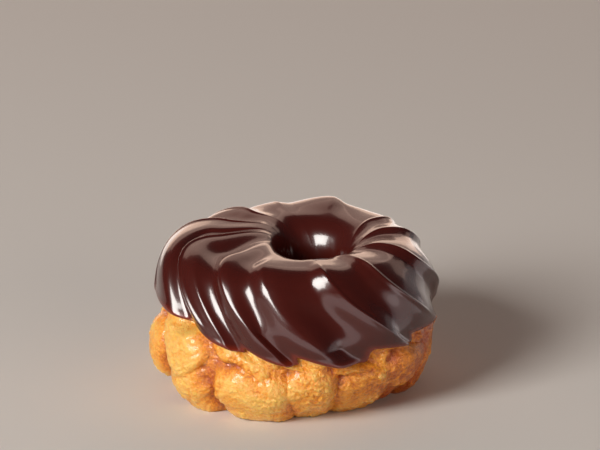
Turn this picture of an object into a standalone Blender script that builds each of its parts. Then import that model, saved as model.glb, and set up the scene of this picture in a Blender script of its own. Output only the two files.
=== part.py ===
"""Chocolate-iced French cruller: a piped, twisted choux ring under a dipped chocolate coat.

Metres, +Z up. The ring stands on z = 0 with its hole along Z. Angles round the ring are
degrees anticlockwise from +X seen from above; angles round the section are degrees from
straight outwards (0) over the crown (90) to the hole side (180), and down to the underside
(-90, which is also 270).
"""
import math

import bpy

MM = 0.001

# ring and plain section, in millimetres
RING_RADIUS = 25.4          # hole centre to the middle of the dough
RING_X = 2.49               # ring centre, set so that the whole stands centred on the origin
RING_Y = 0.35
CROWN_Z = 45.6              # plain crown, before the strands add or take away
MIDDLE_Z = 24.0             # height of the section's centre
UNDER_DROP = 25.5           # section's centre to its lowest point, cut flat at z = 0
HALF_WIDTH_RIGHT = 14.1     # the dough is fatter on the left, so the hole sits off centre
HALF_WIDTH_BACK = 15.3
HALF_WIDTH_LEFT = 17.9
HALF_WIDTH_FRONT = 16.2
SQUARENESS = 2.4            # 2 is an ellipse, more is boxier
LOWER_SHIFT = 1.2           # how far the foot sits left of the crown
LEAN = 1.72                 # degrees that a strand turns round the ring for each mm down
LEAN_STRAIGHT = 26.0        # below this drop from the crown the strands turn upright
LEAN_END = 36.0             # drop that the turning fades out towards
TURN_INWARD = 48.0          # degrees that it turns from the crown down into the hole

# coat
COAT = 1.5                  # thickness of the chocolate
GAP = 0.5                   # clearance between the coat and the dough
BARE_DROP = 1.0             # the dough starts to swell this far below the coat's edge
BARE_RUN = 5.5              # and has its full width this much further down
TIP_STEP = 2.0              # rise of the coat's edge just past each tip
HOLE_EDGE = 178.0           # section angle where the coat ends inside the hole
LOBE_INSET = 3.4            # depth of the creases between the bare lobes
STEP_SHARE = 0.16           # share of a strand's width that the step at a tip takes

# piped strands, anticlockwise: crest's azimuth on the crown, crest height, depth of the
# furrow before the crest, how many degrees the furrow lies ahead of it at the rim, height
# of the coat's tip in that furrow, and swelling of the bare lobe below
STRANDS = (
    # azimuth, crest, furrow, lag, tip, belly
    (10.0, 0.2, 1.8, 15.0, 23.5, -0.5),
    (33.0, -0.2, 1.2, 14.0, 24.5, 0.3),
    (72.0, 1.5, 1.9, 20.0, 24.5, 0.0),
    (104.0, 0.3, 1.5, 16.0, 25.0, 0.2),
    (128.0, 0.3, 1.5, 14.0, 26.0, 1.4),
    (156.0, 0.7, 2.0, 12.0, 27.0, 3.2),
    (191.0, 0.7, 2.3, 8.0, 26.8, 1.2),
    (216.0, 0.5, 2.1, 14.0, 21.6, -0.6),
    (238.0, 0.6, 2.0, 15.0, 19.4, -2.0),
    (275.0, 0.6, 1.2, 26.0, 17.2, -1.2),
    (305.0, 0.7, 1.8, 24.0, 20.0, -1.4),
    (337.0, 0.4, 1.8, 16.0, 22.0, -1.0),
)
AZIMUTH, CREST, FURROW, LAG, TIP, BELLY = range(6)

# facets
COLUMNS_DOWN = 4            # columns from a crest down to the furrow
COLUMNS_UP = 3              # columns from the furrow up to the next crest
COAT_STEPS = 13             # rows from the coat's outer edge over the crown to its inner one
BARE_STEPS = 17             # rows of bare dough from there round the underside


def ease(share):
    """Smooth step from 0 to 1."""
    share = min(max(share, 0.0), 1.0)
    return share * share * (3.0 - 2.0 * share)


def strand(index, quantity):
    """A strand's value, counting round the ring past the last one."""
    return STRANDS[index % len(STRANDS)][quantity]


def spacing(index):
    """Degrees from a strand's crest to the next one's."""
    return (strand(index + 1, AZIMUTH) - strand(index, AZIMUTH)) % 360.0


def half_width(azimuth):
    """Half width of the section at an azimuth, eased between the four sides."""
    along_x, along_y = math.cos(math.radians(azimuth)), math.sin(math.radians(azimuth))
    side = HALF_WIDTH_RIGHT if along_x > 0 else HALF_WIDTH_LEFT
    end = HALF_WIDTH_BACK if along_y > 0 else HALF_WIDTH_FRONT
    return side * along_x ** 2 + end * along_y ** 2


def section_reach(angle, width):
    """Distance from the section's centre to its plain outline."""
    across, up = math.cos(math.radians(angle)), math.sin(math.radians(angle))
    height = CROWN_Z - MIDDLE_Z if up > 0 else UNDER_DROP
    total = (abs(across) / width) ** SQUARENESS + (abs(up) / height) ** SQUARENESS
    return total ** (-1.0 / SQUARENESS)


def plain_height(angle):
    """Height of the plain outline on a section of middling width."""
    return MIDDLE_Z + section_reach(angle, HALF_WIDTH_FRONT) * math.sin(math.radians(angle))


def turn(angle):
    """Degrees that the strands have turned round the ring at a section angle."""
    if angle > 90.0:
        inward = -TURN_INWARD * ease((angle - 90.0) / 80.0)
        closing = ease((angle - 165.0) / 105.0)
        return inward + (TURN_INWARD + turn(-90.0)) * closing
    drop = max(CROWN_Z - plain_height(angle), 0.0)
    if drop > LEAN_STRAIGHT:
        fade = LEAN_END - LEAN_STRAIGHT
        drop = LEAN_STRAIGHT + fade * math.tanh((drop - LEAN_STRAIGHT) / fade)
    return LEAN * drop


def relief(angle):
    """How strongly the strands stand out: fully outside, faintly in the hole, not below."""
    hole = 1.0 - 0.8 * ease((angle - 85.0) / 55.0)
    return hole * ease(abs(angle + 90.0) / 30.0) * ease(abs(angle - 270.0) / 60.0)


def furrow_share(index, angle):
    """Where the furrow lies between a crest (0) and the next one (1)."""
    ramp = 0.3 + 0.7 * min(max((90.0 - angle) / 90.0, 0.0), 1.0) ** 1.3
    return 1.0 - min(max(strand(index + 1, LAG) * ramp / spacing(index), 0.1), 0.85)


class Column:
    """One line of points that follows the strands from the hole over the crown and down."""

    def __init__(self, number):
        per_strand = COLUMNS_DOWN + COLUMNS_UP
        self.index = number // per_strand
        step = number % per_strand
        self.falling = step <= COLUMNS_DOWN
        self.depth = step / COLUMNS_DOWN if self.falling else (per_strand - step) / COLUMNS_UP

    def share(self, angle):
        """Position between the crest before (0) and the crest after (1)."""
        split = furrow_share(self.index, angle)
        return self.depth * split if self.falling else 1.0 - self.depth * (1.0 - split)

    def lobe_share(self, angle):
        """The same for the bare lobes, whose creases move midway between the crests."""
        low = ease((8.0 - angle) / 30.0)
        split = furrow_share(self.index, angle) * (1.0 - low) + 0.5 * low
        return self.depth * split if self.falling else 1.0 - self.depth * (1.0 - split)

    def between(self, quantity, share):
        """A strand value eased from this crest to the next."""
        blend = ease(share)
        return strand(self.index, quantity) * (1.0 - blend) + strand(self.index + 1, quantity) * blend

    def azimuth(self, angle, share):
        """Azimuth of the column at a section angle."""
        return strand(self.index, AZIMUTH) + share * spacing(self.index) + turn(angle)

    def coat_relief(self, angle):
        """Height of the smooth, filled-in strands over the plain section."""
        share = self.share(angle)
        furrow = ((1.0 - math.cos(math.pi * self.depth)) / 2.0) ** 0.8
        return (self.between(CREST, share) - strand(self.index + 1, FURROW) * furrow) * relief(angle)

    def lobe_relief(self, angle):
        """Height of the bare, bulging lobes over the plain section."""
        crease = 1.0 - math.sqrt(1.0 - self.depth ** 2.4)
        belly = self.between(BELLY, self.lobe_share(angle)) * math.exp(-((angle + 40.0) / 26.0) ** 2)
        return (0.2 - LOBE_INSET * crease) * relief(angle) + belly

    def edge_height(self):
        """Height of the coat's lower edge: a tip in each furrow, a step, then a long fall."""
        split = furrow_share(self.index, 0.0)
        tips = strand(self.index, TIP), strand(self.index + 1, TIP), strand(self.index + 2, TIP)
        lag_before = (1.0 - furrow_share(self.index - 1, 0.0)) * spacing(self.index - 1)
        lag_after = (1.0 - split) * spacing(self.index)
        lag_next = (1.0 - furrow_share(self.index + 1, 0.0)) * spacing(self.index + 1)
        passed = self.share(0.0) * spacing(self.index)
        if self.falling:
            width = spacing(self.index) - lag_after + lag_before
            run, start, end = (lag_before + passed) / width, tips[0], tips[1]
        else:
            width = spacing(self.index + 1) - lag_next + lag_after
            run, start, end = (passed - split * spacing(self.index)) / width, tips[1], tips[2]
        step = TIP_STEP * ease(run / STEP_SHARE) * (1.0 - run) ** 0.8
        return start + step + (end - start) * ease(run)

    def coat_angle(self, step):
        """Section angle of a row under the coat, from its outer edge to the one in the hole."""
        start = math.degrees(math.asin((self.edge_height() - MIDDLE_Z) / HALF_WIDTH_FRONT))
        return start + (HOLE_EDGE - start) * step / COAT_STEPS

    def bare_angle(self, step):
        """Section angle of a row of bare dough, from the hole under the ring to the coat."""
        end = self.coat_angle(0) + 360.0
        angle = HOLE_EDGE + (end - HOLE_EDGE) * step / BARE_STEPS
        return angle if angle <= 270.0 else angle - 360.0


def place(azimuth, angle, lift):
    """Point in metres at an azimuth and a section angle, lifted off the plain outline."""
    reach = section_reach(angle, half_width(azimuth)) + lift
    radius = RING_RADIUS + reach * math.cos(math.radians(angle))
    height = max(MIDDLE_Z + reach * math.sin(math.radians(angle)), 0.0)
    shift = LOWER_SHIFT * ease((MIDDLE_Z + 4.0 - height) / MIDDLE_Z)
    across = RING_X + radius * math.cos(math.radians(azimuth)) - shift
    along = RING_Y + radius * math.sin(math.radians(azimuth))
    return across * MM, along * MM, height * MM


def dough_point(column, row):
    """Surface of the dough: inset under the coat, swelling into lobes below its edge."""
    under_coat = row <= COAT_STEPS
    angle = column.coat_angle(row) if under_coat else column.bare_angle(row - COAT_STEPS)
    covered = column.coat_relief(angle) - COAT - GAP
    if under_coat or angle > 90.0:
        lift = covered * (1.0 - ease((angle - HOLE_EDGE) / 40.0))
        return place(column.azimuth(angle, column.share(angle)), angle, lift)
    bare = ease((column.edge_height() - BARE_DROP - plain_height(angle)) / BARE_RUN)
    lift = covered * (1.0 - bare) + column.lobe_relief(angle) * bare
    share = column.share(angle) * (1.0 - bare) + column.lobe_share(angle) * bare
    return place(column.azimuth(angle, share), angle, lift)


def coat_point(column, row):
    """Surface of the coat: out over the crown to the hole, and back along the dough."""
    outside = row <= COAT_STEPS
    step = row if outside else 2 * COAT_STEPS - row
    angle = column.coat_angle(step)
    lift = column.coat_relief(angle)
    if not outside:
        lift -= COAT
    elif step in (0, COAT_STEPS):
        lift -= COAT * 0.6
    return place(column.azimuth(angle, column.share(angle)), angle, lift)


def material(name, colour, roughness):
    """Plain Principled material."""
    finish = bpy.data.materials.new(name)
    finish.use_nodes = True
    shader = finish.node_tree.nodes["Principled BSDF"]
    shader.inputs["Base Color"].default_value = (*colour, 1.0)
    shader.inputs["Roughness"].default_value = roughness
    shader.inputs["Metallic"].default_value = 0.0
    return finish


def ring(name, rows, point, finish, collection):
    """A torus primitive whose every point is moved to the piped form."""
    columns = len(STRANDS) * (COLUMNS_DOWN + COLUMNS_UP)
    bpy.ops.mesh.primitive_torus_add(
        major_segments=columns, minor_segments=rows, major_radius=1.0, minor_radius=0.25)
    piece = bpy.context.object
    piece.name = piece.data.name = name
    for vertex in piece.data.vertices:
        x, y, z = vertex.co
        around = math.atan2(y, x) / math.tau * columns
        section = math.atan2(z, math.hypot(x, y) - 1.0) / math.tau * rows
        vertex.co = point(Column(round(around) % columns), round(section) % rows)
    piece.data.materials.append(finish)
    piece.data.shade_smooth()
    piece.data.set_sharp_from_angle(angle=math.radians(50.0))
    for holder in piece.users_collection:
        holder.objects.unlink(piece)
    collection.objects.link(piece)
    return piece


def main():
    """Build the cruller."""
    for leftover in list(bpy.data.objects):
        bpy.data.objects.remove(leftover)
    collection = bpy.data.collections.new("cruller_doughnut")
    bpy.context.scene.collection.children.link(collection)
    fried = material("fried choux dough", (0.70, 0.36, 0.10), 0.55)
    chocolate = material("dark chocolate icing", (0.05, 0.011, 0.008), 0.12)
    ring("dough_ring", COAT_STEPS + BARE_STEPS, dough_point, fried, collection)
    ring("chocolate_icing", 2 * COAT_STEPS, coat_point, chocolate, collection)


main()
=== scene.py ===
"""Looks of a chocolate-iced French cruller: fried choux strands under a dipped coat.

Lengths are millimetres unless a name says otherwise, and points are turned to metres when
they reach a mesh. Angles round the ring are degrees anticlockwise from +X seen from above.
Angles round the section are degrees from straight outwards (0) over the crown (90) to the
hole side (180) and down to the underside (270, which is also -90).
"""
import logging
import math
from dataclasses import dataclass, field, fields, replace
from enum import Enum

import bmesh
import bpy
import numpy as np
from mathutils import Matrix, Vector, noise


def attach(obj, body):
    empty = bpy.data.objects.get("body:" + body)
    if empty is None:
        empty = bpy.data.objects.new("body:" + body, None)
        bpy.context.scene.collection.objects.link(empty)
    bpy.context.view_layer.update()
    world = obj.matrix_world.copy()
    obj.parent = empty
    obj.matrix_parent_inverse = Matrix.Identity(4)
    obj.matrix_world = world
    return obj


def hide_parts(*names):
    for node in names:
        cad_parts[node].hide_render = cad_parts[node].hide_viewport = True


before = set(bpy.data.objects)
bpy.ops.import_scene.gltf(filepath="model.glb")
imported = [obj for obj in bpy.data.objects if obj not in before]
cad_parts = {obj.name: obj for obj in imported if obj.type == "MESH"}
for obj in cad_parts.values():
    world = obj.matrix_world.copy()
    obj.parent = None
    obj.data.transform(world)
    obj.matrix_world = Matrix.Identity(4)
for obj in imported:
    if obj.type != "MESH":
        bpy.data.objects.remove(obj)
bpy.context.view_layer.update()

MM = 0.001
WELD = 1e-6                  # metres
LOG = logging.getLogger("cruller")


class Slot(Enum):
    """Material slots of the record."""

    DOUGH = "fried_dough"
    CHOCOLATE = "chocolate"


# --------------------------------------------------------------------------- small tools

def ease(share: np.ndarray) -> np.ndarray:
    """Smooth step from 0 to 1."""
    share = np.clip(share, 0.0, 1.0)
    return share * share * (3.0 - 2.0 * share)


def linear(colour: str) -> tuple[float, float, float, float]:
    """Turn an sRGB hex colour into linear red, green, blue and alpha.

    Args:
        colour: Six hex digits, with or without a leading hash.

    Returns:
        The linear colour, with alpha 1.
    """
    digits = colour.lstrip("#")
    channels = [int(digits[place:place + 2], 16) / 255.0 for place in (0, 2, 4)]
    return (*[c / 12.92 if c <= 0.04045 else ((c + 0.055) / 1.055) ** 2.4 for c in channels], 1.0)


@dataclass(frozen=True)
class Lumps:
    """One layer of smooth unevenness, above and below zero."""

    height: float
    width: float        # of one lump, mm
    seed: int           # shifts the pattern, so that two layers differ
    shift: tuple[float, float, float] = (17.31, 5.17, 9.73)

    def at(self, points: np.ndarray) -> np.ndarray:
        """The layer's height at each point, from about -height to height."""
        places = points / self.width + np.array(self.shift) * self.seed
        return self.height * np.array([noise.noise(Vector(place)) for place in places])


@dataclass(frozen=True)
class Blisters:
    """A layer of rounded bubbles with bare skin between them."""

    height: float
    width: float        # from one bubble to the next, mm
    seed: int
    reach: float = 0.62     # radius of a bubble as a share of the width
    shift: tuple[float, float, float] = (3.7, 11.9, 7.3)

    def at(self, points: np.ndarray) -> np.ndarray:
        """The layer's height at each point, full at a bubble's middle.

        Args:
            points: Places, one row each.

        Returns:
            One value for each point.
        """
        places = points / self.width + np.array(self.shift) * self.seed
        nearest = np.array([noise.voronoi(Vector(place))[0][0] for place in places])
        return self.height * np.clip(1.0 - (nearest / self.reach) ** 2, 0.0, 1.0)


def summed(layers: tuple[Lumps, ...], points: np.ndarray) -> np.ndarray:
    """All the layers' heights at each point, added up."""
    return sum(layer.at(points) for layer in layers)


# --------------------------------------------------------------------------- the piped form

@dataclass(frozen=True)
class Strand:
    """One piped strand of the twisted ring."""

    azimuth: float            # where its crest crosses the crown
    lean: float = 1.72        # degrees that it turns for each mm down the outside
    bow: float = 0.0          # degrees that it runs ahead of that line below the shoulder
    inward: float = 48.0      # degrees that it turns back from the crown into the hole
    crest: float = 0.4        # height of the crest over the plain ring
    ridge: float = 0.45       # height of the nozzle's narrow ridge along the crest
    fold: float = 0.0         # height of a second ridge halfway down to the furrow before it
    furrow: float = 1.1       # depth of that furrow at the crown
    rim_furrow: float = 1.6   # the same at the rim
    fall: float = 1.0         # how late the strand behind drops into that furrow, 1 for evenly
    crown_lag: float = 8.0    # degrees from the furrow to the crest after it at the crown
    lag: float = 16.0         # the same at the rim
    tip: float = 24.5         # height of the coat's tip in that furrow
    step: float = 2.0         # rise of the coat's edge just past that tip
    step_run: float = 0.16    # share of the way to the next tip that the rise takes
    belly: float = 0.0        # swelling of the bare dough below
    foot: float = 0.0         # swelling of its underside


STRANDS = (
    Strand(azimuth=10.0, crest=0.2, furrow=0.9, rim_furrow=1.4, lag=15.0, tip=23.5, belly=-0.5),
    Strand(azimuth=33.0, crest=-0.2, ridge=0.35, furrow=0.7, rim_furrow=1.2, lag=14.0, belly=0.3),
    Strand(azimuth=72.0, crest=2.2, ridge=0.0, furrow=1.4, crown_lag=12.0, lag=20.0),
    Strand(azimuth=104.0, crest=0.3, ridge=0.15, furrow=0.8, rim_furrow=0.8, crown_lag=9.0,
           tip=25.0, step=1.6, belly=0.2),
    Strand(azimuth=127.0, crest=0.1, rim_furrow=1.1, crown_lag=9.0, lag=14.0, tip=26.0, step=1.6,
           belly=1.4, foot=0.8),
    Strand(azimuth=152.0, lean=1.86, crest=0.0, furrow=1.5, rim_furrow=1.9, crown_lag=11.0,
           lag=12.0, tip=27.0, step=1.4, belly=3.2, foot=1.8),
    Strand(azimuth=188.0, lean=2.05, bow=6.0, crest=0.7, furrow=1.3, rim_furrow=4.6, fall=5.0,
           crown_lag=15.0, lag=18.0, tip=26.8, step=2.2, step_run=0.3, belly=1.2),
    Strand(azimuth=225.0, lean=1.54, inward=20.0, crest=0.5, ridge=0.05, fold=0.3, furrow=2.4,
           rim_furrow=2.0, fall=1.4, crown_lag=16.0, lag=18.0, tip=22.4, step=1.8, step_run=0.22,
           belly=-0.6, foot=-2.4),
    Strand(azimuth=248.0, lean=1.37, inward=5.0, crest=0.6, ridge=0.05, furrow=1.7, rim_furrow=1.9,
           crown_lag=10.0, lag=24.5, tip=19.6, step=3.2, step_run=0.19, belly=-2.0, foot=-2.8),
    Strand(azimuth=279.0, lean=1.6, inward=30.0, crest=0.6, ridge=0.3, furrow=1.7, rim_furrow=3.6,
           crown_lag=7.7, lag=25.5, tip=17.2, step=5.6, step_run=0.42, belly=1.0, foot=1.0),
    Strand(azimuth=305.0, lean=1.66, ridge=0.6, rim_furrow=1.8, crown_lag=7.5, lag=25.0, tip=20.0,
           step=3.4, step_run=0.14, belly=-0.8),
    Strand(azimuth=337.0, rim_furrow=2.6, tip=22.0, belly=-1.0),
)


FRONT = 3               # place of the front's value among the four sides
CROWN = 90.0            # section angles
OUTER_FOOT = -90.0
INNER_FOOT = 270.0


@dataclass
class PipedRing:
    """The twisted ring that the dough and the coat both follow."""

    radius: float = 25.4            # hole centre to the middle of the dough
    centre: tuple[float, float] = (2.49, 0.35)
    crown: float = 45.6
    middle: float = 24.0            # height of the section's centre
    under_drop: float = 25.5        # section's centre to its lowest point, cut flat at z = 0
    lower_shift: float = 1.2        # how far the foot sits left of the crown
    shift_rise: float = 4.0         # the shift ends this far over the section's centre
    hole_edge: float = 178.0        # section angle where the coat ends inside the hole

    # right, back, left and front
    half_widths: tuple[float, ...] = (14.9, 15.3, 17.9, 16.2)
    fade_starts: tuple[float, ...] = (88.0, 72.0, 94.0, 68.0)   # where the strands begin to fade
    fade_runs: tuple[float, ...] = (40.0, 36.0, 42.0, 40.0)     # degrees until they have faded
    outer_squareness: tuple[float, ...] = (-0.3, 0.0, 0.8, -0.65)   # added on the outside
    inner_squareness: tuple[float, ...] = (0.0, 1.0, 5.0, -0.1)     # added towards the hole
    squareness: float = 2.4         # of the section: 2 is an ellipse, more is boxier

    ledge: float = 1.6              # the front of the crown is swollen to a ledge
    ledge_angle: float = 64.0
    ledge_width: float = 15.0
    ridge_width: float = 1.0
    ridge_start: float = 2.0        # section angle where the ridges rise out of the rim
    ridge_run: float = 25.0
    faded: float = 0.93             # share of the strands' height that is lost in the hole
    foot_fade: float = 30.0         # degrees before the lowest point, outside and inside,
    inner_foot_fade: float = 60.0   # over which the strands level out

    lean_straight: float = 26.0     # below this drop from the crown the strands turn upright
    lean_end: float = 36.0
    bow_drop: float = 8.0           # the bow is widest at this drop
    inward_run: float = 80.0        # degrees past the crown that the turn into the hole takes
    closing_start: float = 165.0    # the turn under the ring, which joins up its two ends
    closing_run: float = 105.0
    shoulder_lag: float = 0.36      # lag at the shoulder as a share of that at the rim
    shoulder: float = 60.0          # section angle where the lag starts to change to the crown's
    shoulder_run: float = 26.0
    rim_reach: float = 70.0         # section angle where it starts to change to the rim's
    furrow_limits: tuple[float, float] = (0.1, 0.85)    # lag as a share of the spacing

    values: dict[str, np.ndarray] = field(init=False)

    def __post_init__(self) -> None:
        """Lay the strands out as arrays, so that a column looks its values up."""
        self.values = {
            quantity.name: np.array([getattr(strand, quantity.name) for strand in STRANDS])
            for quantity in fields(Strand)
        }
        self.values["spacing"] = (np.roll(self.values["azimuth"], -1) - self.values["azimuth"]) % 360.0

    def of(self, quantity: str, index: np.ndarray) -> np.ndarray:
        """A value of each strand in index, counting round the ring past the last one."""
        return self.values[quantity][index % len(STRANDS)]

    @staticmethod
    def around(azimuth: np.ndarray, sides: tuple[float, ...]) -> np.ndarray:
        """A value eased round the ring between its four sides.

        Args:
            azimuth: Degrees round the ring.
            sides: The value at the right, back, left and front.

        Returns:
            The value at each azimuth.
        """
        along_x, along_y = np.cos(np.radians(azimuth)), np.sin(np.radians(azimuth))
        right, back, left, front = sides
        side, end = np.where(along_x > 0, right, left), np.where(along_y > 0, back, front)
        return side * along_x ** 2 + end * along_y ** 2

    def reach(self, angle: np.ndarray, width: np.ndarray | float,
              boxier: np.ndarray | float = 0.0) -> np.ndarray:
        """Distance from the section's centre to its plain outline.

        Args:
            angle: Degrees round the section.
            width: Half width of the section.
            boxier: Squareness added to the section's.

        Returns:
            The distances.
        """
        across, up = np.cos(np.radians(angle)), np.sin(np.radians(angle))
        height = np.where(up > 0, self.crown - self.middle, self.under_drop)
        power = self.squareness + boxier
        total = np.abs(across / width) ** power + np.abs(up / height) ** power
        return total ** (-1.0 / power)

    def plain_height(self, angle: np.ndarray) -> np.ndarray:
        """Height of the plain outline on a section of middling width."""
        return self.middle + self.reach(angle, self.half_widths[FRONT]) * np.sin(np.radians(angle))

    def drop(self, angle: np.ndarray | float) -> np.ndarray:
        """Millimetres below the crown, slowing down near the foot.

        Args:
            angle: Degrees round the section.

        Returns:
            The drop, which is 0 past the crown.
        """
        drop = np.maximum(self.crown - self.plain_height(np.minimum(angle, CROWN)), 0.0)
        fade = self.lean_end - self.lean_straight
        slow = self.lean_straight + fade * np.tanh((drop - self.lean_straight) / fade)
        return np.where(drop > self.lean_straight, slow, drop)

    def turn(self, angle: np.ndarray, lean: np.ndarray, bow: np.ndarray,
             inward: np.ndarray) -> np.ndarray:
        """Degrees that a strand has turned round the ring.

        Args:
            angle: Degrees round the section.
            lean: The strand's lean.
            bow: Its bow.
            inward: Its turn into the hole.

        Returns:
            The turn at each angle, anticlockwise.
        """
        down = self.drop(angle) / self.bow_drop
        closing = ease((angle - self.closing_start) / self.closing_run)
        inside = (inward + lean * self.drop(OUTER_FOOT)) * closing \
            - inward * ease((angle - CROWN) / self.inward_run)
        outside = lean * self.drop(angle) + bow * down * np.exp(1.0 - down)
        return np.where(angle > CROWN, inside, outside)

    def relief(self, azimuth: np.ndarray, angle: np.ndarray) -> np.ndarray:
        """How strongly the strands stand out: fully outside, hardly in the hole, not below.

        Args:
            azimuth: Degrees round the ring.
            angle: Degrees round the section.

        Returns:
            A factor for the strands' height, from 0 to 1.
        """
        fade = (angle - self.around(azimuth, self.fade_starts)) / self.around(azimuth, self.fade_runs)
        hole = 1.0 - self.faded * ease(fade)
        return hole * ease(np.abs(angle - OUTER_FOOT) / self.foot_fade) \
            * ease(np.abs(angle - INNER_FOOT) / self.inner_foot_fade)

    def spacing(self, index: np.ndarray, angle: np.ndarray | float) -> np.ndarray:
        """Degrees from a strand's crest to the next one at a section angle."""
        opening = (self.of("lean", index + 1) - self.of("lean", index)) * self.drop(angle)
        return self.of("spacing", index) + np.where(np.asarray(angle) < CROWN, opening, 0.0)

    def furrow_share(self, index: np.ndarray, angle: np.ndarray | float) -> np.ndarray:
        """Where the furrow lies between a crest (0) and the next one (1).

        Args:
            index: Number of the strand before the furrow.
            angle: Degrees round the section.

        Returns:
            The share of the way from crest to crest.
        """
        shoulder = self.of("lag", index + 1) * self.shoulder_lag
        crown = ease((np.asarray(angle) - self.shoulder) / self.shoulder_run)
        rim = np.clip((self.rim_reach - np.asarray(angle)) / self.rim_reach, 0.0, 1.0) ** 2
        lag = shoulder + (self.of("crown_lag", index + 1) - shoulder) * crown \
            + (self.of("lag", index + 1) - shoulder) * rim
        return 1.0 - np.clip(lag / self.spacing(index, angle), *self.furrow_limits)

    def boxier(self, azimuth: np.ndarray, angle: np.ndarray) -> np.ndarray:
        """Squareness added to the section: most halfway down, outside and inside.

        Args:
            azimuth: Degrees round the ring.
            angle: Degrees round the section.

        Returns:
            The squareness to add at each point.
        """
        # full from 110 to 140 degrees on the hole side, and from 60 down to 20 on the outside
        inner = ease((angle - 90.0) / 20.0) * ease((200.0 - angle) / 60.0)
        outer = ease((90.0 - angle) / 30.0) * ease((angle + 20.0) / 40.0)
        return np.where(
            angle > CROWN,
            self.around(azimuth, self.inner_squareness) * inner,
            self.around(azimuth, self.outer_squareness) * outer)

    def place(self, azimuth: np.ndarray, angle: np.ndarray, lift: np.ndarray) -> np.ndarray:
        """Points in millimetres, lifted off the plain outline.

        Args:
            azimuth: Degrees round the ring.
            angle: Degrees round the section.
            lift: Distance outwards from the plain outline.

        Returns:
            One row of x, y and z for each point, none below the floor.
        """
        near = np.clip(-np.sin(np.radians(azimuth)), 0.0, 1.0) ** 2
        lift = lift + self.ledge * near * np.exp(-((angle - self.ledge_angle) / self.ledge_width) ** 2)
        width = self.around(azimuth, self.half_widths)
        reach = self.reach(angle, width, self.boxier(azimuth, angle)) + lift
        radius = self.radius + reach * np.cos(np.radians(angle))
        height = np.maximum(self.middle + reach * np.sin(np.radians(angle)), 0.0)
        shift = self.lower_shift * ease((self.middle + self.shift_rise - height) / self.middle)
        across = self.centre[0] + radius * np.cos(np.radians(azimuth)) - shift
        along = self.centre[1] + radius * np.sin(np.radians(azimuth))
        return np.stack((across, along, height), axis=1)


RING = PipedRing()
RIM_DEGREE = math.radians(RING.radius + RING.half_widths[FRONT])    # mm along the rim in a degree


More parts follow.
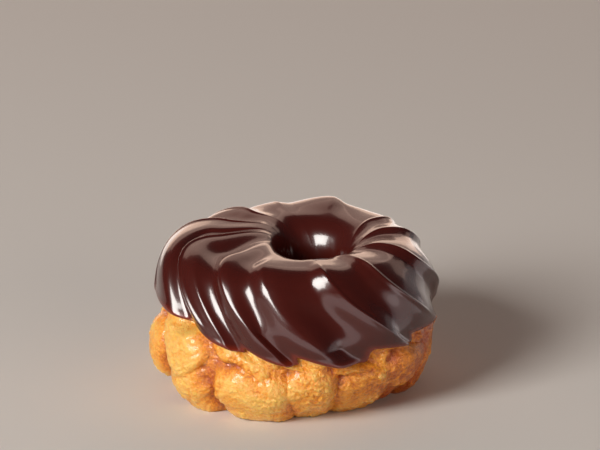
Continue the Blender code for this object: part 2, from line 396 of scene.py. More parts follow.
@dataclass
class Columns:
    """Lines of points that follow the strands from the hole over the crown and down.

    The columns run from a crest down to the furrow and up to the next crest.
    """

    number: np.ndarray          # of each point's column, anticlockwise
    down: int                   # columns from a crest down to the furrow
    up: int                     # columns from the furrow up to the next crest
    crowding: float = 1.25      # over 1 the columns crowd towards the crests
    fold_place: float = 0.5     # between crest and furrow
    fold_width: float = 0.12
    low_start: float = 88.0     # section angle where the rim's furrow depth sets in
    low_run: float = 60.0
    lobe_start: float = 8.0     # section angle where the bare dough's creases part from the furrows
    lobe_run: float = 30.0
    step_fade: float = 0.8      # how the step at a tip dies away, 1 for a straight slope
    index: np.ndarray = field(init=False)       # number of the strand before the point
    falling: np.ndarray = field(init=False)     # whether the point lies before the furrow
    depth: np.ndarray = field(init=False)       # 0 on a crest, 1 in the furrow

    def __post_init__(self) -> None:
        """Sort the columns into strands."""
        step = self.number % (self.down + self.up)
        self.index = self.number // (self.down + self.up)
        self.falling = step <= self.down
        even = np.where(self.falling, step / self.down, (self.down + self.up - step) / self.up)
        self.depth = even ** self.crowding

    def spread(self, split: np.ndarray) -> np.ndarray:
        """Position between two crests, when the furrow lies at the split."""
        return np.where(self.falling, self.depth * split, 1.0 - self.depth * (1.0 - split))

    def share(self, angle: np.ndarray | float) -> np.ndarray:
        """Position between the crest before (0) and the crest after (1)."""
        return self.spread(RING.furrow_share(self.index, angle))

    def lobe_share(self, angle: np.ndarray) -> np.ndarray:
        """The same for bare dough, whose creases move midway between the crests."""
        low = ease((self.lobe_start - angle) / self.lobe_run)
        return self.spread(RING.furrow_share(self.index, angle) * (1.0 - low) + 0.5 * low)

    def between(self, quantity: str, share: np.ndarray) -> np.ndarray:
        """A strand's value eased from this crest to the next."""
        blend = ease(share)
        return RING.of(quantity, self.index) * (1.0 - blend) + RING.of(quantity, self.index + 1) * blend

    def azimuth(self, angle: np.ndarray, share: np.ndarray) -> np.ndarray:
        """Azimuth of the columns.

        Args:
            angle: Degrees round the section.
            share: Position between two crests.

        Returns:
            Degrees round the ring.
        """
        crown = RING.of("azimuth", self.index) + share * RING.of("spacing", self.index)
        lean, bow, inward = (self.between(name, share) for name in ("lean", "bow", "inward"))
        return crown + RING.turn(angle, lean, bow, inward)

    def coat_relief(self, angle: np.ndarray) -> np.ndarray:
        """Height of the smooth, filled-in strands over the plain section.

        Args:
            angle: Degrees round the section.

        Returns:
            The height of each point: crest, ridge and fold, less the furrow.
        """
        late = np.where(self.falling, RING.of("fall", self.index + 1), 1.0)
        furrow = (1.0 - np.cos(math.pi * self.depth ** late)) / 2.0
        share = self.share(angle)
        from_crest = np.minimum(share, 1.0 - share) * RING.spacing(self.index, angle)
        from_ridge = from_crest * RIM_DEGREE / RING.ridge_width
        ridge = self.between("ridge", share) * np.exp(-from_ridge ** 2) \
            * ease((angle - RING.ridge_start) / RING.ridge_run)
        low = ease((self.low_start - angle) / self.low_run)
        depth = RING.of("furrow", self.index + 1) * (1.0 - low) \
            + RING.of("rim_furrow", self.index + 1) * low
        halfway = np.exp(-((self.depth - self.fold_place) / self.fold_width) ** 2)
        fold = RING.of("fold", self.index + 1) * np.where(self.falling, halfway, 0.0) * low
        height = self.between("crest", share) + ridge + fold - depth * furrow
        return height * RING.relief(self.azimuth(angle, share), angle)

    @staticmethod
    def rim_lag(index: np.ndarray) -> np.ndarray:
        """Degrees between a strand's furrow and the crest after it, at the rim."""
        return (1.0 - RING.furrow_share(index, 0.0)) * RING.spacing(index, 0.0)

    def edge_height(self) -> np.ndarray:
        """Height of the coat's lower edge: a tip in each furrow, a step, then a long fall.

        Returns:
            The height at each column.
        """
        spacing, lag = RING.spacing(self.index, 0.0), self.rim_lag(self.index)
        lag_before, lag_after = self.rim_lag(self.index - 1), self.rim_lag(self.index + 1)
        passed = self.share(0.0) * spacing
        run = np.clip(np.where(
            self.falling,
            (lag_before + passed) / (spacing - lag + lag_before),
            (passed - spacing + lag) / (RING.spacing(self.index + 1, 0.0) - lag_after + lag),
        ), 0.0, 1.0)
        first = np.where(self.falling, self.index, self.index + 1)
        start, end = RING.of("tip", first), RING.of("tip", first + 1)
        rise = ease(run / RING.of("step_run", first)) * (1.0 - run) ** self.step_fade
        return start + RING.of("step", first) * rise + (end - start) * ease(run)

    def edge_angle(self) -> np.ndarray:
        """Section angle of the coat's lower edge."""
        return np.degrees(np.arcsin((self.edge_height() - RING.middle) / RING.half_widths[FRONT]))


def flat_skin(name: str, columns: int, rows: int) -> tuple[bpy.types.Object, np.ndarray, np.ndarray]:
    """A flat grid to be rolled into a ring, with each point's column and row.

    Args:
        name: Name of the piece.
        columns: Quads round the ring.
        rows: Quads round the section.

    Returns:
        The object, and the column and row numbers of its points; the last ones repeat the first.
    """
    shape = bmesh.new()
    bmesh.ops.create_grid(shape, x_segments=columns, y_segments=rows, size=1.0)
    mesh = bpy.data.meshes.new(name)
    shape.to_mesh(mesh)
    shape.free()
    piece = bpy.data.objects.new(name, mesh)
    bpy.context.scene.collection.objects.link(piece)
    x, y, _ = read_points(mesh).T
    column = np.round((x + 1.0) / 2.0 * columns).astype(int) % columns
    row = np.round((y + 1.0) / 2.0 * rows).astype(int) % rows
    return piece, column, row


def close_skin(mesh: bpy.types.Mesh) -> None:
    """Weld a rolled skin along its two seams and turn its faces outwards.

    Args:
        mesh: The rolled grid, whose opposite edges lie on each other.
    """
    shape = bmesh.new()
    shape.from_mesh(mesh)
    seams = [point for point in shape.verts if point.is_boundary]
    bmesh.ops.remove_doubles(shape, verts=seams, dist=WELD)
    bmesh.ops.recalc_face_normals(shape, faces=shape.faces[:])
    shape.to_mesh(mesh)
    shape.free()
    mesh.shade_smooth()


def read_points(mesh: bpy.types.Mesh) -> np.ndarray:
    """Read a mesh's points.

    Args:
        mesh: The mesh.

    Returns:
        One row of x, y and z for each point, in metres.
    """
    flat = np.zeros(len(mesh.vertices) * 3, np.float32)
    mesh.vertices.foreach_get("co", flat)
    return flat.reshape(-1, 3).astype(float)


def write_points(mesh: bpy.types.Mesh, points: np.ndarray) -> None:
    """Move the mesh's points, given in millimetres."""
    mesh.vertices.foreach_set("co", (points * MM).astype(np.float32).ravel())
    mesh.update()


def write_attribute(mesh: bpy.types.Mesh, name: str, values: np.ndarray) -> None:
    """Store one number for each point."""
    layer = mesh.attributes.new(name, "FLOAT", "POINT")
    layer.data.foreach_set("value", values.astype(np.float32))


# --------------------------------------------------------------------------- finishes

def add_node(tree: bpy.types.NodeTree, kind: str, settings: dict | None = None,
             links: dict | None = None) -> bpy.types.Node:
    """Add a node with its settings and links.

    Args:
        tree: Node tree that it joins.
        kind: Blender's name for the node type.
        settings: Properties, or input values where the name is an input's.
        links: Output sockets by the name of the input that they feed.

    Returns:
        The new node.
    """
    node = tree.nodes.new(kind)
    for name, value in (settings or {}).items():
        if hasattr(node, name):
            setattr(node, name, value)
        else:
            node.inputs[name].default_value = value
    for name, socket in (links or {}).items():
        tree.links.new(socket, node.inputs[name])
    return node


def new_material(name: str) -> tuple[bpy.types.Material, bpy.types.NodeTree, bpy.types.Node]:
    """Start a material.

    Args:
        name: What it is made of and how.

    Returns:
        The material, its node tree and its Principled shader.
    """
    material = bpy.data.materials.new(name)
    material.use_nodes = True
    return material, material.node_tree, material.node_tree.nodes["Principled BSDF"]


def ramp(tree: bpy.types.NodeTree, factor: bpy.types.NodeSocket,
         stops: tuple[tuple[float, str], ...]) -> bpy.types.NodeSocket:
    """Turn a number into a colour.

    Args:
        tree: Node tree of the material.
        factor: The number's socket.
        stops: Positions from 0 to 1, each with its hex colour.

    Returns:
        The colour's socket.
    """
    node = add_node(tree, "ShaderNodeValToRGB", links={"Fac": factor})
    elements = node.color_ramp.elements
    while len(elements) < len(stops):
        elements.new(1.0)
    for element, (position, colour) in zip(elements, stops):
        element.position = position
        element.color = linear(colour)
    return node.outputs["Color"]


@dataclass(frozen=True)
class ChocolateGlaze:
    """Dark chocolate icing, dipped while warm and set to a wet-looking gloss."""

    body: str = "#45140e"
    rim: str = "#7c2612"            # where the icing thins out at its edge
    roughness: float = 0.22
    ior: float = 1.46               # cocoa butter and sugar syrup
    sheen: float = 0.5              # weight of the set skin over the body
    sheen_roughness: float = 0.05
    sheen_ior: float = 1.45
    ripple_width: float = 5.0       # mm
    ripple_height: float = 0.03

    def material(self) -> bpy.types.Material:
        """Make the glaze.

        Returns:
            The material.
        """
        # Almost black-brown in the body and redder where it is thin. The clear skin over a
        # softer body gives each light a sharp, bright streak with a faint glow round it.
        material, tree, shader = new_material("dipped dark chocolate icing")
        place = add_node(tree, "ShaderNodeTexCoord").outputs["Object"]
        edge = add_node(tree, "ShaderNodeAttribute", {"attribute_name": "edge"}).outputs["Fac"]
        colour = ramp(tree, edge, ((0.0, self.body), (1.0, self.rim)))
        ripple = add_node(
            tree, "ShaderNodeTexNoise",
            {"Scale": 1.0 / (self.ripple_width * MM), "Detail": 1.0}, {"Vector": place})
        bump = add_node(
            tree, "ShaderNodeBump",
            {"Strength": 1.0, "Distance": self.ripple_height * MM},
            {"Height": ripple.outputs["Fac"]})
        tree.links.new(colour, shader.inputs["Base Color"])
        tree.links.new(bump.outputs["Normal"], shader.inputs["Normal"])
        shader.inputs["Roughness"].default_value = self.roughness
        shader.inputs["IOR"].default_value = self.ior
        shader.inputs["Coat Weight"].default_value = self.sheen
        shader.inputs["Coat Roughness"].default_value = self.sheen_roughness
        shader.inputs["Coat IOR"].default_value = self.sheen_ior
        return material


@dataclass(frozen=True)
class FriedChoux:
    """Choux dough, piped through a star nozzle and deep fried to a blistered gold."""

    pale: str = "#ffc765"
    gold: str = "#f8a02f"
    brown: str = "#bb5818"
    gold_at: float = 0.45           # where gold lies between pale and brown
    mottle: float = 0.26            # how far the grain shifts the tone either way
    grain_width: float = 0.9        # mm
    blister_width: float = 0.5
    blister_height: float = 0.4
    roughness: float = 0.3
    ior: float = 1.45
    oil: float = 0.35               # weight of the frying oil's film
    oil_roughness: float = 0.14
    oil_ior: float = 1.47
    glow: float = 0.3               # share of the light that goes through the crumb
    glow_depth: float = 2.2         # mm, for red; less for green and blue
    glow_colours: tuple[float, float, float] = (1.0, 0.5, 0.2)

    def material(self) -> bpy.types.Material:
        """Make the crust.

        Returns:
            The material.
        """
        # The tone paints the lobes' crowns and raised crust pale, a painted highlight, and the creases
        # and the right side orange-brown, painted shade that on the right is partly the crust's own
        # browning; a fine mottle of the crust's own lies over it.
        # The blisters break the light up, the oil gives them small sparkles, and light that
        # goes through the airy crumb keeps the shadows warm.
        material, tree, shader = new_material("fried choux crust")
        place = add_node(tree, "ShaderNodeTexCoord").outputs["Object"]
        # The tone attribute holds painted shade and a painted highlight as well as the crust's own
        # patches.
        tone = add_node(tree, "ShaderNodeAttribute", {"attribute_name": "tone"}).outputs["Fac"]
        patch = add_node(
            tree, "ShaderNodeTexNoise",
            {"Scale": 1.0 / (self.grain_width * MM), "Detail": 4.0, "Roughness": 0.6},
            {"Vector": place})
        spread = add_node(
            tree, "ShaderNodeMapRange",
            {"From Min": 0.3, "From Max": 0.7, "To Min": -self.mottle, "To Max": self.mottle},
            {"Value": patch.outputs["Fac"]})
        mixed = add_node(tree, "ShaderNodeMath", {"operation": "ADD", "use_clamp": True})
        tree.links.new(tone, mixed.inputs[0])
        tree.links.new(spread.outputs["Result"], mixed.inputs[1])
        stops = ((0.0, self.pale), (self.gold_at, self.gold), (1.0, self.brown))
        colour = ramp(tree, mixed.outputs["Value"], stops)
        fine = add_node(
            tree, "ShaderNodeTexNoise",
            {"Scale": 1.0 / (self.blister_width * MM), "Detail": 3.0, "Roughness": 0.65},
            {"Vector": place})
        grain = add_node(
            tree, "ShaderNodeTexVoronoi",
            {"feature": "SMOOTH_F1", "Scale": 1.0 / (self.grain_width * MM)},
            {"Vector": place})
        height = add_node(tree, "ShaderNodeMath", {"operation": "SUBTRACT"})
        tree.links.new(fine.outputs["Fac"], height.inputs[0])
        tree.links.new(grain.outputs["Distance"], height.inputs[1])
        bump = add_node(
            tree, "ShaderNodeBump",
            {"Strength": 1.0, "Distance": self.blister_height * MM},
            {"Height": height.outputs["Value"]})
        tree.links.new(colour, shader.inputs["Base Color"])
        tree.links.new(bump.outputs["Normal"], shader.inputs["Normal"])
        shader.inputs["Roughness"].default_value = self.roughness
        shader.inputs["IOR"].default_value = self.ior
        shader.inputs["Coat Weight"].default_value = self.oil
        shader.inputs["Coat Roughness"].default_value = self.oil_roughness
        shader.inputs["Coat IOR"].default_value = self.oil_ior
        shader.inputs["Subsurface Weight"].default_value = self.glow
        shader.inputs["Subsurface Radius"].default_value = self.glow_colours
        shader.inputs["Subsurface Scale"].default_value = self.glow_depth * MM
        return material


@dataclass(frozen=True)
class StudioFloor:
    """Matt pale board."""

    colour: str = "#d9d6d2"

    def material(self) -> bpy.types.Material:
        """Make the floor's plain finish.

        Returns:
            The material.
        """
        # No gloss at all, so that the low lights leave no marks on it.
        material, _, shader = new_material("matt pale board")
        shader.inputs["Base Color"].default_value = linear(self.colour)
        shader.inputs["Roughness"].default_value = 1.0
        shader.inputs["Specular IOR Level"].default_value = 0.0
        return material


# --------------------------------------------------------------------------- pieces

@dataclass(frozen=True)
class Lobe:
    """One bulge of bare dough on the outer wall."""

    azimuth: float
    height: float       # of its middle over the floor
    along: float        # half length
    across: float       # half width
    tilt: float         # degrees that its length rises anticlockwise
    swell: float        # how far it stands over the plain wall


FRONT_LOBES = (
    Lobe(189.0, 13.2, 9.8, 8.4, 84.0, 0.9),
    Lobe(207.0, 23.0, 7.5, 4.0, -50.0, 0.2),
    Lobe(216.5, 20.0, 8.6, 7.6, -50.0, 0.9),
    Lobe(219.0, 6.5, 10.5, 8.2, -84.0, 0.3),
    Lobe(247.0, 20.6, 12.5, 4.2, -17.0, -0.8),
    Lobe(251.0, 8.4, 13.8, 9.0, -9.0, 0.9),
    Lobe(272.0, 19.6, 9.5, 4.0, -24.0, -0.6),
    Lobe(276.5, 8.8, 10.5, 8.4, -66.0, 0.9),
    Lobe(297.0, 16.8, 12.5, 4.4, 2.0, -0.1),
    Lobe(301.5, 8.0, 11.5, 8.2, 12.0, 0.7),
    Lobe(322.0, 14.5, 10.5, 8.2, 50.0, 0.9),
    Lobe(331.0, 21.5, 6.0, 4.0, 60.0, 0.2),
    Lobe(344.0, 12.0, 12.0, 7.4, 86.0, 0.0),
)

# The first pair of those behind, before it sways; the next pairs follow round the back.
BACK_LOBE = Lobe(9.0, 9.0, 12.0, 8.6, -64.0, 0.4)
BACK_SHOULDER = Lobe(-2.0, 20.0, 10.5, 4.6, -34.0, 0.2)
BACK_LOBE_STEP = 25.6
BACK_LOBE_COUNT = 7
SWAY_STEP = 2.4         # radians from one pair to the next
SWAY_TILT = 8.0
SHOULDER_SWAY_TILT = 6.0
SWAY_SWELL = 0.3


def wall_lobes() -> list[Lobe]:
    """Gather the lobes all round.

    Returns:
        Those in front one by one, then the ones behind in pairs, each pair swayed a little.
    """
    lobes = list(FRONT_LOBES)
    for number in range(BACK_LOBE_COUNT):
        turned, sway = BACK_LOBE_STEP * number, math.sin(SWAY_STEP * number)
        lobes.append(replace(
            BACK_LOBE,
            azimuth=BACK_LOBE.azimuth + turned, height=BACK_LOBE.height + sway,
            tilt=BACK_LOBE.tilt + SWAY_TILT * sway, swell=BACK_LOBE.swell + SWAY_SWELL * sway))
        lobes.append(replace(
            BACK_SHOULDER,
            azimuth=BACK_SHOULDER.azimuth + turned, height=BACK_SHOULDER.height - sway,
            tilt=BACK_SHOULDER.tilt + SHOULDER_SWAY_TILT * sway))
    return lobes


@dataclass
class DoughRing:
    """The fried ring: smooth under the coat, blistered lobes below its edge."""

    columns_down: int = 30
    columns_up: int = 18
    covered_rows: int = 14
    hole_rows: int = 44
    wall_rows: int = 108
    sunk_in_coat: float = 1.4       # the dough's face lies inside the coat's thickness
    sunk_fade: float = 40.0         # degrees past the coat's end in the hole where it comes out
    crease_depth: float = 4.0
    crease_softness: float = 0.16
    flatness: float = 2.8           # of the lobes' tops: 2 is a ball
    foot_height: float = 5.0        # below it the lobes run straight down
    foot_round: float = 7.0         # degrees over which they meet the underside
    bare_drop: float = 0.6          # below the coat's edge, where the bare skin sets in
    bare_run: float = 2.8
    belly_angle: float = -36.0      # section angles of the strands' two swellings
    belly_run: float = 24.0
    swollen_foot_angle: float = -70.0
    swollen_foot_run: float = 20.0
    # how the creases wander: in degrees round the ring, and in millimetres up and down
    sway: tuple[Lumps, ...] = (Lumps(1.781, 7.0, 21), Lumps(0.685, 2.5, 22))
    bob: tuple[Lumps, ...] = (Lumps(1.0, 6.0, 23), Lumps(0.5, 2.5, 24))
    lumps: tuple[Lumps, ...] = (Lumps(0.40, 6.0, 1), Lumps(0.30, 2.6, 2))
    bubbles: Blisters = Blisters(0.45, 1.6, 3)
    bubble_groups: Lumps = Lumps(1.0, 6.0, 4)
    bubble_spread: float = 0.6      # more gives larger groups with less bare skin
    grit: Lumps = Lumps(0.22, 0.9, 5)
    hidden_crust: float = 0.6       # share of the crust's height under the coat and below
    tone_start: float = 0.18        # base tone, palest on the left where the painted shade to the right has not set in
    tone_right: float = 0.62        # painted shade to the right, away from the key light, partly also the crust's own browner tone
    tone_crease: float = 0.9        # painted shade, browner the deeper a point lies in a crease
    tone_crust: float = 0.7         # painted highlight: paler for each millimetre that the crust stands up
    tone_patches: Lumps = Lumps(0.16, 8.0, 7)
    right_shade_start: float = -12.0      # where the painted shade, partly the crust's own browning, starts to darken it to the right, mm
    right_shade_run: float = 50.0
    finish: FriedChoux = field(default_factory=FriedChoux)

    def section(self, row: np.ndarray, start: np.ndarray) -> np.ndarray:
        """Section angle of each row.

        Args:
            row: Row numbers, from the coat's outer edge over the crown and back underneath.
            start: Section angle of the coat's outer edge.

        Returns:
            The angles, from -90 to 270.
        """
        over = start + (RING.hole_edge - start) * row / self.covered_rows
        passed = row - self.covered_rows
        inside = RING.hole_edge + (INNER_FOOT - RING.hole_edge) * passed / self.hole_rows
        wall = OUTER_FOOT + (start - OUTER_FOOT) * (passed - self.hole_rows) / self.wall_rows
        return np.where(row <= self.covered_rows, over, np.where(passed <= self.hole_rows, inside, wall))

    def lobes(self, azimuth: np.ndarray, height: np.ndarray) -> tuple[np.ndarray, np.ndarray]:
        """Height of the lobed wall over the plain one.

        Args:
            azimuth: Degrees round the ring.
            height: Millimetres over the floor.

        Returns:
            The lift of each point, and how deep in a crease it lies from 0 to 1.
        """
        total = np.zeros_like(azimuth)
        height = np.maximum(height, self.foot_height)
        for lobe in wall_lobes():
            side = ((azimuth - lobe.azimuth + 180.0) % 360.0 - 180.0) * RIM_DEGREE
            rise = height - lobe.height
            cosine, sine = math.cos(math.radians(lobe.tilt)), math.sin(math.radians(lobe.tilt))
            far = np.abs((side * cosine + rise * sine) / lobe.along) ** self.flatness \
                + np.abs((rise * cosine - side * sine) / lobe.across) ** self.flatness
            dome = (self.crease_depth + lobe.swell) * np.sqrt(np.clip(1.0 - far, 0.0, 1.0))
            total += np.exp(dome / self.crease_softness)
        lift = self.crease_softness * np.log(total) - self.crease_depth
        return lift, np.clip(-lift / self.crease_depth, 0.0, 1.0)

    def swelling(self, columns: Columns, angle: np.ndarray) -> np.ndarray:
        """How far the bare strands swell over the plain wall, at the belly and at the foot.

        Args:
            columns: The columns that the points lie on.
            angle: Degrees round the section.

        Returns:
            The swelling in millimetres, below zero where a strand is thin.
        """
        share = columns.lobe_share(angle)
        belly = np.exp(-((angle - self.belly_angle) / self.belly_run) ** 2)
        foot = np.exp(-((angle - self.swollen_foot_angle) / self.swollen_foot_run) ** 2)
        return columns.between("belly", share) * belly + columns.between("foot", share) * foot

    def build(self) -> bpy.types.Object:
        """Roll the ring and move its points to the piped, fried form.

        Returns:
            The ring.
        """
        rows = self.covered_rows + self.hole_rows + self.wall_rows
        count = len(STRANDS) * (self.columns_down + self.columns_up)
        piece, column, row = flat_skin("fried_dough_ring", count, rows)
        columns = Columns(column, self.columns_down, self.columns_up)
        angle = self.section(row, columns.edge_angle())
        height = RING.plain_height(angle)
        outside = (row > self.covered_rows) & (angle < CROWN)
        below = ease((columns.edge_height() - self.bare_drop - height) / self.bare_run)
        bare = np.where(outside, below, 0.0)
        share = columns.share(angle) * (1.0 - bare) + columns.lobe_share(angle) * bare
        azimuth = columns.azimuth(angle, share)
        covered = (columns.coat_relief(angle) - self.sunk_in_coat) \
            * (1.0 - ease((angle - RING.hole_edge) / self.sunk_fade))
        wall = RING.place(azimuth, angle, np.zeros_like(angle))
        lobed, crease = self.lobes(azimuth + summed(self.sway, wall), height + summed(self.bob, wall))
        lobed = lobed * ease((angle - OUTER_FOOT) / self.foot_round)
        lift = covered * (1.0 - bare) + (lobed + self.swelling(columns, angle)) * bare
        crust = self.crust(RING.place(azimuth, angle, lift))
        points = RING.place(azimuth, angle, lift + crust * np.where(outside, bare, self.hidden_crust))
        write_points(piece.data, points)
        write_attribute(piece.data, "tone", self.tone(points, crease * bare, crust))
        close_skin(piece.data)
        return piece

    def crust(self, points: np.ndarray) -> np.ndarray:
        """Height of the fried surface over the smooth dough.

        Args:
            points: Places on the smooth dough.

        Returns:
            Lumps, groups of blisters and grit together, in millimetres.
        """
        groups = ease(self.bubble_groups.at(points) + self.bubble_spread)
        return summed(self.lumps, points) + self.bubbles.at(points) * groups + self.grit.at(points)

    def tone(self, points: np.ndarray, crease: np.ndarray, crust: np.ndarray) -> np.ndarray:
        """How brown the crust is painted: its own patches, with painted shade to the right and in the
        creases and a painted highlight on the raised crust.

        Args:
            points: Places on the crust.
            crease: How deep each lies in a crease, from 0 to 1.
            crust: Height of the crust there.

        Returns:
            The tone with its painted shade and highlight, from 0 for pale to 1 for brown.
        """
        # Painted shade: browner to the right, away from the key light, partly also the crust's own
        # browner tone.
        rightward_shade = ease((points[:, 0] - self.right_shade_start) / self.right_shade_run)
        # Painted shade in the creases, added by crease depth.
        even = self.tone_start + self.tone_right * rightward_shade + self.tone_crease * crease
        # Painted highlight: the raised crust and blisters are paler, by height.
        return np.clip(even + self.tone_patches.at(points) - self.tone_crust * crust, 0.0, 1.0)

    def dress(self, piece: bpy.types.Object) -> None:
        """Finish the ring and tie it to its CAD solid.

        Args:
            piece: The ring.
        """
        piece.data.materials.append(self.finish.material())
        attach(piece, "root")
        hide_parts("dough_ring")


@dataclass
class ChocolateCoat:
    """The dipped coat: a shell over the crown with a rounded lower lip."""

    columns_down: int = 34
    columns_up: int = 20
    outer_rows: int = 108
    lip_rows: int = 10
    inner_rows: int = 24
    thickness: float = 1.9
    bead: float = 0.2               # where the icing gathered above its lower edge
    bead_place: float = 1.2         # mm from the edge
    bead_width: float = 1.1
    thin_edge: float = 2.8          # mm over which the icing thins out and shows redder
    wave: Lumps = Lumps(0.10, 9.0, 11)
    face_depth: float = 0.1         # what lies no deeper than this waves
    outward: float = 1.0            # the edge's distance outside the plain section
    finish: ChocolateGlaze = field(default_factory=ChocolateGlaze)

    def section(self, row: np.ndarray, low: np.ndarray, lip: float) -> tuple[np.ndarray, np.ndarray]:
        """Path of the rows: up the face, round the hole's lip, back inside, round the lower lip.

        Args:
            row: Row numbers, from the lower edge of the face.
            low: Section angle where the face meets the lower lip.
            lip: Degrees that a lip reaches past the face.

        Returns:
            The section angle of each row, and its depth under the face in millimetres.
        """
        half, high = self.thickness / 2.0, RING.hole_edge - lip
        outer = row / self.outer_rows
        over_hole = (row - self.outer_rows) / self.lip_rows
        inner = (row - self.outer_rows - self.lip_rows) / self.inner_rows
        at_edge = (row - self.outer_rows - self.lip_rows - self.inner_rows) / self.lip_rows
        stretches = [outer <= 1.0, over_hole <= 1.0, inner <= 1.0]
        angle = np.select(stretches, [
            low + (high - low) * outer,
            high + lip * np.sin(math.pi * over_hole),
            high + (low - high) * inner,
        ], low - lip * np.sin(math.pi * at_edge))
        sunk = np.select(stretches, [
            np.zeros_like(outer),
            half - half * np.cos(math.pi * over_hole),
            np.full_like(outer, self.thickness),
        ], half + half * np.cos(math.pi * at_edge))
        return angle, sunk

    def build(self) -> bpy.types.Object:
        """Roll the shell and move its points over the strands.

        Returns:
            The coat.
        """
        rows = self.outer_rows + self.inner_rows + 2 * self.lip_rows
        count = len(STRANDS) * (self.columns_down + self.columns_up)
        piece, column, row = flat_skin("chocolate_coat", count, rows)
        columns = Columns(column, self.columns_down, self.columns_up)
        per_degree = math.radians(RING.half_widths[FRONT] + self.outward)
        lip = self.thickness / 2.0 / per_degree
        low = columns.edge_angle() + lip
        angle, sunk = self.section(row, low, lip)
        from_edge = (angle - low + lip) * per_degree
        gathered = np.exp(-((from_edge - self.bead_place) / self.bead_width) ** 2)
        bead = self.bead * gathered * (1.0 - sunk / self.thickness)
        lift = columns.coat_relief(angle) - sunk + bead
        azimuth = columns.azimuth(angle, columns.share(angle))
        on_face = sunk < self.face_depth
        wave = self.wave.at(RING.place(azimuth, angle, lift)) * on_face
        write_points(piece.data, RING.place(azimuth, angle, lift + wave))
        write_attribute(piece.data, "edge", ease(1.0 - from_edge / self.thin_edge))
        close_skin(piece.data)
        return piece

    def dress(self, piece: bpy.types.Object) -> None:
        """Finish the coat and tie it to its CAD solid.

        Args:
            piece: The coat.
        """
        piece.data.materials.append(self.finish.material())
        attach(piece, "root")
        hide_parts("chocolate_icing")


# --------------------------------------------------------------------------- studio

class Role(Enum):
    """What a light is for."""

    SHAPE = "lights the dough and the floor, unseen in the gloss"
    GLOSS = "shows as a reflection only"
    BOTH = "both"


@dataclass(frozen=True)
class Softbox:
    """A rectangular soft light that faces the doughnut."""

    name: str
    azimuth: float          # 270 is in front, 180 on the left
    elevation: float
    width: float            # degrees that it spans, seen from the doughnut
    height: float
    brightness: float
    role: Role
    colour: str = "#ffffff"
    distance: float = 1.8   # metres

    def span(self, degrees: float) -> float:
        """Length in metres of a side that spans so many degrees."""
        return 2.0 * self.distance * math.tan(math.radians(degrees / 2.0))

    def build(self, aim: Vector) -> None:
        """Hang the light at its place and turn it to the aim.

        Args:
            aim: The point that it faces, in metres.
        """
        lamp = bpy.data.lights.new(self.name, "AREA")
        lamp.shape = "RECTANGLE"
        lamp.size, lamp.size_y = self.span(self.width), self.span(self.height)
        lamp.energy = self.brightness * math.pi * lamp.size * lamp.size_y
        lamp.color = linear(self.colour)[:3]
        holder = bpy.data.objects.new(self.name, lamp)
        bpy.context.scene.collection.objects.link(holder)
        holder.visible_camera = False
        holder.visible_glossy = self.role is not Role.SHAPE
        holder.visible_diffuse = self.role is not Role.GLOSS
        around, up = math.radians(self.azimuth), math.radians(self.elevation)
        away = Vector((math.cos(around) * math.cos(up), math.sin(around) * math.cos(up), math.sin(up)))
        holder.location = aim + away * self.distance
        holder.rotation_euler = away.to_track_quat("Z", "Y").to_euler()


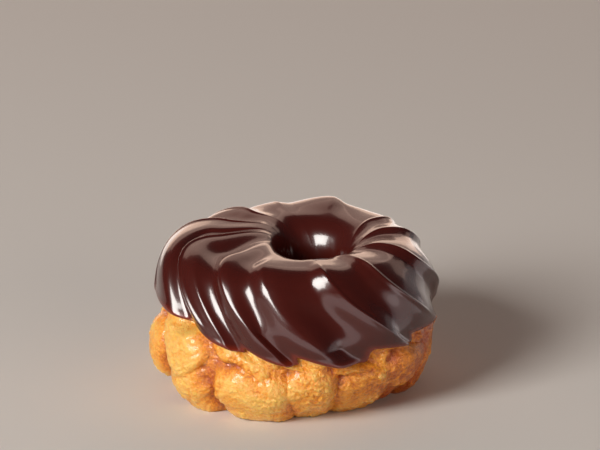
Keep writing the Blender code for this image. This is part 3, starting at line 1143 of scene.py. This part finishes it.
@dataclass
class Studio:
    """Pale floor, soft lights and the camera."""

    floor_size: float = 3.4         # metres, so that it ends just short of the far lights
    lens: float = 200.0             # mm
    sensor: float = 36.0
    view_width: float = 0.176       # metres across the view at the doughnut
    camera_elevation: float = 19.6
    look_across: float = 0.0018
    look_up: float = 0.0485
    lit_height: float = 0.025       # the lights face this far over the floor's middle
    world_colour: str = "#d8dde6"
    world_strength: float = 0.06
    backdrop_colour: str = "#cbc2b9"
    # The key and the fill shape the dough. One tall gloss light makes the streaks on the left,
    # and the three behind draw the pale bands on the crests. The cards stand close by and
    # low, and give the coat's steep sides something pale to show.
    lights: tuple[Softbox, ...] = (
        Softbox("key", 222.0, 28.0, 24.0, 24.0, 18.5, Role.SHAPE, "#fffaf4"),
        Softbox("gloss_left", 226.0, 26.0, 29.0, 31.0, 20.0, Role.GLOSS, "#fffdf8"),
        Softbox("back_low", 92.0, 5.0, 56.0, 17.0, 1.9, Role.BOTH, "#f4cfb8"),
        Softbox("back_middle", 85.0, 22.0, 84.0, 16.0, 0.8, Role.BOTH, "#f6cfbc"),
        Softbox("back_high", 96.0, 37.0, 60.0, 17.0, 1.2, Role.BOTH, "#f6cfbc"),
        Softbox("rim_card", 96.0, -3.0, 66.0, 18.0, 1.3, Role.GLOSS, "#f6e6dc", 0.16),
        Softbox("front_card", 280.0, -9.0, 100.0, 22.0, 1.2, Role.GLOSS, "#ece2e4", 0.1),
        Softbox("right_card", 350.0, -4.0, 80.0, 22.0, 0.8, Role.GLOSS, "#ece2e4", 0.12),
        Softbox("far_card", 35.0, 4.0, 60.0, 26.0, 0.35, Role.GLOSS, "#ece2e0", 0.16),
        Softbox("fill_right", 312.0, 16.0, 40.0, 24.0, 2.0, Role.SHAPE, "#ffe9d4"),
    )

    def build(self) -> None:
        """Set the stage."""
        self.build_floor()
        self.build_camera()
        aim = Vector((0.0, 0.0, self.lit_height))
        for light in self.lights:
            light.build(aim)
        bpy.context.scene.world = self.surroundings()
        bpy.context.scene.view_settings.view_transform = "Standard"

    def surroundings(self) -> bpy.types.World:
        """Light dimly from all round, and show the camera a pale backdrop.

        Returns:
            The world.
        """
        world = bpy.data.worlds.new("dim studio")
        world.use_nodes = True
        tree = world.node_tree
        dim = tree.nodes["Background"]
        dim.inputs["Color"].default_value = linear(self.world_colour)
        dim.inputs["Strength"].default_value = self.world_strength
        backdrop = add_node(tree, "ShaderNodeBackground", {"Color": linear(self.backdrop_colour)})
        seen = add_node(tree, "ShaderNodeLightPath").outputs["Is Camera Ray"]
        choice = add_node(tree, "ShaderNodeMixShader", links={"Fac": seen})
        tree.links.new(dim.outputs["Background"], choice.inputs[1])
        tree.links.new(backdrop.outputs["Background"], choice.inputs[2])
        tree.links.new(choice.outputs["Shader"], tree.nodes["World Output"].inputs["Surface"])
        return world

    def build_floor(self) -> None:
        """Lay the floor at z = 0."""
        shape = bmesh.new()
        bmesh.ops.create_grid(shape, x_segments=2, y_segments=2, size=self.floor_size / 2.0)
        mesh = bpy.data.meshes.new("studio_floor")
        shape.to_mesh(mesh)
        shape.free()
        floor = bpy.data.objects.new("studio_floor", mesh)
        bpy.context.scene.collection.objects.link(floor)
        mesh.materials.append(StudioFloor().material())

    def build_camera(self) -> None:
        """Set a long lens in front, a little above the doughnut."""
        data = bpy.data.cameras.new("camera")
        data.lens, data.sensor_width = self.lens, self.sensor
        camera = bpy.data.objects.new("camera", data)
        bpy.context.scene.collection.objects.link(camera)
        up = math.radians(self.camera_elevation)
        back = Vector((0.0, -math.cos(up), math.sin(up)))
        aim = Vector((self.look_across, 0.0, self.look_up))
        camera.location = aim + back * self.view_width * self.lens / self.sensor
        camera.rotation_euler = back.to_track_quat("Z", "Y").to_euler()
        bpy.context.scene.camera = camera


def main() -> None:
    """Build and dress each piece, then the studio, and note the sizes."""
    logging.basicConfig(level=logging.INFO, format="%(name)s: %(message)s")
    for maker in (DoughRing(), ChocolateCoat()):
        piece = maker.build()
        maker.dress(piece)
        LOG.info("%s: %d faces", piece.name, len(piece.data.polygons))
    Studio().build()
    bpy.context.view_layer.update()


if __name__ == "__main__":
    main()
